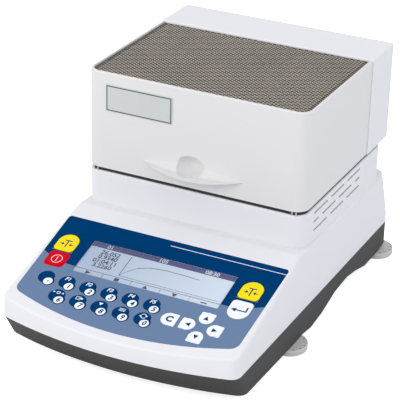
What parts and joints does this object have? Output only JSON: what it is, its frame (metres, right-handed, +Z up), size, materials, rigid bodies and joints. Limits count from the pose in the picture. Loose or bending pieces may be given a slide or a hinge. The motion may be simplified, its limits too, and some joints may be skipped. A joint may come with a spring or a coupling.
{
  "type": "moisture analyzer",
  "caption": "Benchtop moisture analyzer with a sloped keypad deck, hinged heating hood with perforated top, sample pan on a load cell and screw feet.",
  "frame": {"origin": "centre of the bounding box at bench level", "axes": "+X to the right seen from the front, +Y to the rear, +Z up"},
  "size_m": [0.2348, 0.345, 0.2056],
  "materials": {
    "dark_housing": "fine moulded texture",
    "white_housing": "fine moulded texture",
    "hood_plastic": "fine moulded texture",
    "keypad_film": "printed film",
    "key_blue": "printed film",
    "key_yellow": "printed film",
    "key_red": "printed film",
    "key_white": "printed film",
    "circuit": "board",
    "clear_window": "clear sheet",
    "lcd": "display",
    "black_plastic": "moulded",
    "aluminium": "machined",
    "steel": "formed sheet",
    "grille_metal": "perforated sheet",
    "lamp_glass": "quartz tube",
    "ceramic_white": "glazed",
    "post_metal": "turned",
    "plate_metal": "satin",
    "pan_metal": "pressed sheet",
    "level_glass": "clear",
    "foot_plastic": "moulded",
    "rubber": "matte"
  },
  "bodies": {
    "base": {"lower_housing": "dark_housing", "upper_housing": "white_housing", "keypad_overlay": "keypad_film", "keypad_circuit": "circuit", "display_window": "clear_window", "lcd_module": "lcd", "main_board": "circuit", "power_supply": "circuit", "power_inlet": "black_plastic", "serial_socket": "black_plastic", "switch_frame": "black_plastic", "load_cell_bracket": "aluminium", "load_cell": "aluminium", "pan_spindle": "steel", "pan_support": "steel", "chamber_floor": "steel", "heat_shield_ring": "steel", "bubble_level": "level_glass", "hinge_brackets": "steel"},
    "hood": {"hood_shell": "hood_plastic", "hood_rear_cover": "white_housing", "hood_grille": "grille_metal", "reflector": "steel", "halogen_lamps": "lamp_glass", "lamp_sockets": "ceramic_white", "temperature_probe": "steel", "front_stops": "post_metal", "name_plate": "plate_metal"},
    "pan": {"sample_pan": "pan_metal", "pan_gripper": "steel"},
    "rocker": {"power_rocker": "black_plastic"},
    "key_point": {"key_point": "key_blue"},
    "key_1": {"key_1": "key_blue"},
    "key_2": {"key_2": "key_blue"},
    "key_3": {"key_3": "key_blue"},
    "key_4": {"key_4": "key_blue"},
    "key_5": {"key_5": "key_blue"},
    "key_6": {"key_6": "key_blue"},
    "key_7": {"key_7": "key_blue"},
    "key_8": {"key_8": "key_blue"},
    "key_9": {"key_9": "key_blue"},
    "key_0": {"key_0": "key_blue"},
    "key_tare_left": {"key_tare_left": "key_yellow"},
    "key_power": {"key_power": "key_red"},
    "key_tare_right": {"key_tare_right": "key_yellow"},
    "key_enter": {"key_enter": "key_white"},
    "key_clear": {"key_clear": "key_white"},
    "key_left": {"key_left": "key_white"},
    "key_down": {"key_down": "key_white"},
    "key_up": {"key_up": "key_white"},
    "key_right": {"key_right": "key_white"},
    "foot_pad_front_left": {"foot_pad_front_left": "rubber"},
    "foot_wheel_front_left": {"foot_wheel_front_left": "foot_plastic"},
    "foot_pad_front_right": {"foot_pad_front_right": "rubber"},
    "foot_wheel_front_right": {"foot_wheel_front_right": "foot_plastic"},
    "foot_pad_rear_left": {"foot_pad_rear_left": "rubber"},
    "foot_wheel_rear_left": {"foot_wheel_rear_left": "foot_plastic"},
    "foot_pad_rear_right": {"foot_pad_rear_right": "rubber"},
    "foot_wheel_rear_right": {"foot_wheel_rear_right": "foot_plastic"}
  },
  "joints": [
    {"name": "hood_hinge", "type": "hinge", "parent": "base", "child": "hood", "pos_m": [0, 0.157, 0.119], "axis": [-1, 0, 0], "range_deg": [0, 78]},
    {"name": "pan_lift", "type": "slide", "parent": "base", "child": "pan", "axis": [0, 0, 1], "range_m": [0, 0.02]},
    {"name": "power_switch", "type": "hinge", "parent": "base", "child": "rocker", "pos_m": [-0.038, 0.1669, 0.0225], "axis": [1, 0, 0], "range_deg": [-10, 0]},
    {"name": "key_point_press", "type": "slide", "parent": "base", "child": "key_point", "axis": [0, 0.2666, -0.9638], "range_m": [0, 0.0004], "stiffness_N_per_m": 400, "springref_m": -0.0002},
    {"name": "key_1_press", "type": "slide", "parent": "base", "child": "key_1", "axis": [0, 0.2666, -0.9638], "range_m": [0, 0.0004], "stiffness_N_per_m": 400, "springref_m": -0.0002},
    {"name": "key_2_press", "type": "slide", "parent": "base", "child": "key_2", "axis": [0, 0.2666, -0.9638], "range_m": [0, 0.0004], "stiffness_N_per_m": 400, "springref_m": -0.0002},
    {"name": "key_3_press", "type": "slide", "parent": "base", "child": "key_3", "axis": [0, 0.2666, -0.9638], "range_m": [0, 0.0004], "stiffness_N_per_m": 400, "springref_m": -0.0002},
    {"name": "key_4_press", "type": "slide", "parent": "base", "child": "key_4", "axis": [0, 0.2666, -0.9638], "range_m": [0, 0.0004], "stiffness_N_per_m": 400, "springref_m": -0.0002},
    {"name": "key_5_press", "type": "slide", "parent": "base", "child": "key_5", "axis": [0, 0.2666, -0.9638], "range_m": [0, 0.0004], "stiffness_N_per_m": 400, "springref_m": -0.0002},
    {"name": "key_6_press", "type": "slide", "parent": "base", "child": "key_6", "axis": [0, 0.2666, -0.9638], "range_m": [0, 0.0004], "stiffness_N_per_m": 400, "springref_m": -0.0002},
    {"name": "key_7_press", "type": "slide", "parent": "base", "child": "key_7", "axis": [0, 0.2666, -0.9638], "range_m": [0, 0.0004], "stiffness_N_per_m": 400, "springref_m": -0.0002},
    {"name": "key_8_press", "type": "slide", "parent": "base", "child": "key_8", "axis": [0, 0.2666, -0.9638], "range_m": [0, 0.0004], "stiffness_N_per_m": 400, "springref_m": -0.0002},
    {"name": "key_9_press", "type": "slide", "parent": "base", "child": "key_9", "axis": [0, 0.2666, -0.9638], "range_m": [0, 0.0004], "stiffness_N_per_m": 400, "springref_m": -0.0002},
    {"name": "key_0_press", "type": "slide", "parent": "base", "child": "key_0", "axis": [0, 0.2666, -0.9638], "range_m": [0, 0.0004], "stiffness_N_per_m": 400, "springref_m": -0.0002},
    {"name": "key_tare_left_press", "type": "slide", "parent": "base", "child": "key_tare_left", "axis": [0, 0.2666, -0.9638], "range_m": [0, 0.0004], "stiffness_N_per_m": 400, "springref_m": -0.0002},
    {"name": "key_power_press", "type": "slide", "parent": "base", "child": "key_power", "axis": [0, 0.2666, -0.9638], "range_m": [0, 0.0004], "stiffness_N_per_m": 400, "springref_m": -0.0002},
    {"name": "key_tare_right_press", "type": "slide", "parent": "base", "child": "key_tare_right", "axis": [0, 0.2666, -0.9638], "range_m": [0, 0.0004], "stiffness_N_per_m": 400, "springref_m": -0.0002},
    {"name": "key_enter_press", "type": "slide", "parent": "base", "child": "key_enter", "axis": [0, 0.2666, -0.9638], "range_m": [0, 0.0004], "stiffness_N_per_m": 400, "springref_m": -0.0002},
    {"name": "key_clear_press", "type": "slide", "parent": "base", "child": "key_clear", "axis": [0, 0.2666, -0.9638], "range_m": [0, 0.0004], "stiffness_N_per_m": 400, "springref_m": -0.0002},
    {"name": "key_left_press", "type": "slide", "parent": "base", "child": "key_left", "axis": [0, 0.2666, -0.9638], "range_m": [0, 0.0004], "stiffness_N_per_m": 400, "springref_m": -0.0002},
    {"name": "key_down_press", "type": "slide", "parent": "base", "child": "key_down", "axis": [0, 0.2666, -0.9638], "range_m": [0, 0.0004], "stiffness_N_per_m": 400, "springref_m": -0.0002},
    {"name": "key_up_press", "type": "slide", "parent": "base", "child": "key_up", "axis": [0, 0.2666, -0.9638], "range_m": [0, 0.0004], "stiffness_N_per_m": 400, "springref_m": -0.0002},
    {"name": "key_right_press", "type": "slide", "parent": "base", "child": "key_right", "axis": [0, 0.2666, -0.9638], "range_m": [0, 0.0004], "stiffness_N_per_m": 400, "springref_m": -0.0002},
    {"name": "foot_front_left_height", "type": "slide", "parent": "base", "child": "foot_pad_front_left", "axis": [0, 0, -1], "range_m": [0, 0.003]},
    {"name": "foot_front_left_turn", "type": "hinge", "parent": "foot_pad_front_left", "child": "foot_wheel_front_left", "pos_m": [-0.1015, -0.0425, 0.004], "axis": [0, 0, -1], "range_deg": [0, 1080]},
    {"name": "foot_front_right_height", "type": "slide", "parent": "base", "child": "foot_pad_front_right", "axis": [0, 0, -1], "range_m": [0, 0.003]},
    {"name": "foot_front_right_turn", "type": "hinge", "parent": "foot_pad_front_right", "child": "foot_wheel_front_right", "pos_m": [0.1015, -0.0425, 0.004], "axis": [0, 0, -1], "range_deg": [0, 1080]},
    {"name": "foot_rear_left_height", "type": "slide", "parent": "base", "child": "foot_pad_rear_left", "axis": [0, 0, -1], "range_m": [0, 0.003]},
    {"name": "foot_rear_left_turn", "type": "hinge", "parent": "foot_pad_rear_left", "child": "foot_wheel_rear_left", "pos_m": [-0.1015, 0.156, 0.004], "axis": [0, 0, -1], "range_deg": [0, 1080]},
    {"name": "foot_rear_right_height", "type": "slide", "parent": "base", "child": "foot_pad_rear_right", "axis": [0, 0, -1], "range_m": [0, 0.003]},
    {"name": "foot_rear_right_turn", "type": "hinge", "parent": "foot_pad_rear_right", "child": "foot_wheel_rear_right", "pos_m": [0.1015, 0.156, 0.004], "axis": [0, 0, -1], "range_deg": [0, 1080]}
  ],
  "couplings": [
    {"joint": "foot_front_left_turn", "follows": "foot_front_left_height", "rad_per_m": 6283.2},
    {"joint": "foot_front_right_turn", "follows": "foot_front_right_height", "rad_per_m": 6283.2},
    {"joint": "foot_rear_left_turn", "follows": "foot_rear_left_height", "rad_per_m": 6283.2},
    {"joint": "foot_rear_right_turn", "follows": "foot_rear_right_height", "rad_per_m": 6283.2}
  ]
}
